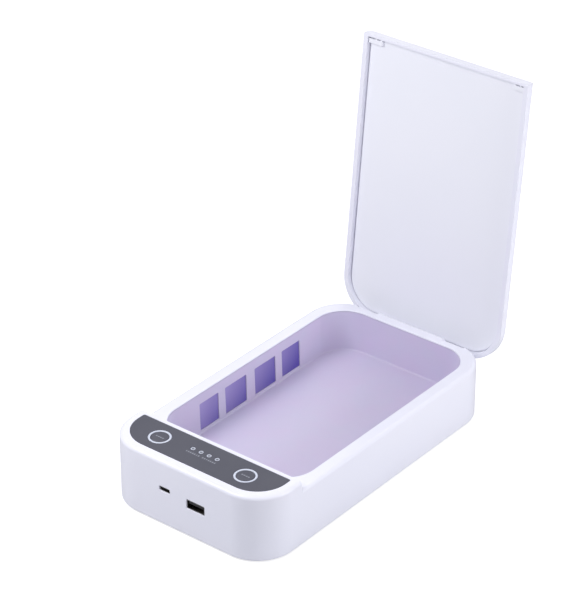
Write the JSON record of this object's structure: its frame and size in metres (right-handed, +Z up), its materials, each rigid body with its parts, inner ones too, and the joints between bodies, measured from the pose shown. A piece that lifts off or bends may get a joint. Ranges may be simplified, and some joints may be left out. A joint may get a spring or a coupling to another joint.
{
  "type": "uv sterilizer cabinet",
  "caption": "Flat white box with a hinged lid, a lilac tray lit by ultraviolet lamps behind side windows, and a control deck with push buttons.",
  "frame": {"origin": "under the middle of the whole object as it stands with its lid open, on the surface that the feet rest on", "axes": "+Z up, +Y from the control deck at the front to the hinge at the rear, +X to the right of a user facing the control deck"},
  "size_m": [0.124, 0.2584, 0.216],
  "materials": {
    "white_casing": "satin gloss",
    "lilac_tray": "satin",
    "violet_window": "glossy translucent, shown solid",
    "grey_overlay": "satin",
    "light_guide": "frosted",
    "black_plastic": "matt",
    "circuit_board": "satin",
    "plated_steel": "bright",
    "reflector_sheet": "polished",
    "magnet_nickel": "bright",
    "foot_rubber": "matt",
    "holder_silicone": "matt",
    "lamp_glass": "clear",
    "lead_insulation": "satin",
    "ferrite": "matt"
  },
  "bodies": {
    "case": {"board_link": "lead_insulation", "body_shell": "white_casing", "bottom_cover": "white_casing", "charge_board": "circuit_board", "control_board": "circuit_board", "control_overlay": "grey_overlay", "cover_screw_1": "plated_steel", "cover_screw_2": "plated_steel", "cover_screw_3": "plated_steel", "cover_screw_4": "plated_steel", "filter_capacitor": "black_plastic", "hinge_pin_left": "plated_steel", "hinge_pin_right": "plated_steel", "inner_tray": "lilac_tray", "lamp_holder_left_front": "holder_silicone", "lamp_holder_left_rear": "holder_silicone", "lamp_holder_right_front": "holder_silicone", "lamp_holder_right_rear": "holder_silicone", "lamp_lead_left_front": "lead_insulation", "lamp_lead_left_rear": "lead_insulation", "lamp_lead_right_front": "lead_insulation", "lamp_lead_right_rear": "lead_insulation", "lamp_reflector_left": "reflector_sheet", "lamp_reflector_right": "reflector_sheet", "lamp_transformer": "ferrite", "lamp_window_left": "violet_window", "lamp_window_right": "violet_window", "led_chip_1": "holder_silicone", "led_chip_2": "holder_silicone", "led_chip_3": "holder_silicone", "led_chip_4": "holder_silicone", "led_lens_1": "light_guide", "led_lens_2": "light_guide", "led_lens_3": "light_guide", "led_lens_4": "light_guide", "lid_sensor": "black_plastic", "micro_usb_shell": "plated_steel", "micro_usb_tongue": "black_plastic", "power_board": "circuit_board", "rim_magnet_left": "magnet_nickel", "rim_magnet_right": "magnet_nickel", "ring_light_left": "light_guide", "ring_light_right": "light_guide", "rubber_foot_1": "foot_rubber", "rubber_foot_2": "foot_rubber", "rubber_foot_3": "foot_rubber", "rubber_foot_4": "foot_rubber", "tact_switch_left": "black_plastic", "tact_switch_right": "black_plastic", "usb_a_shell": "plated_steel", "usb_a_tongue": "black_plastic", "uv_lamp_left": "lamp_glass", "uv_lamp_right": "lamp_glass"},
    "lid": {"lid_shell": "white_casing", "lid_liner": "white_casing", "lid_magnet_left": "magnet_nickel", "lid_magnet_right": "magnet_nickel"},
    "button_left": {"push_button_left": "grey_overlay"},
    "button_right": {"push_button_right": "grey_overlay"}
  },
  "joints": [
    {"name": "lid_hinge", "type": "hinge", "parent": "case", "child": "lid", "pos_m": [0, 0.09391, 0.0302], "axis": [-1, 0, 0], "range_deg": [-96.1, 0]},
    {"name": "press_left", "type": "slide", "parent": "case", "child": "button_left", "axis": [0, 0, -1], "range_m": [0, 0.0005], "stiffness_N_per_m": 300, "springref_m": -0.001},
    {"name": "press_right", "type": "slide", "parent": "case", "child": "button_right", "axis": [0, 0, -1], "range_m": [0, 0.0005], "stiffness_N_per_m": 300, "springref_m": -0.001}
  ]
}
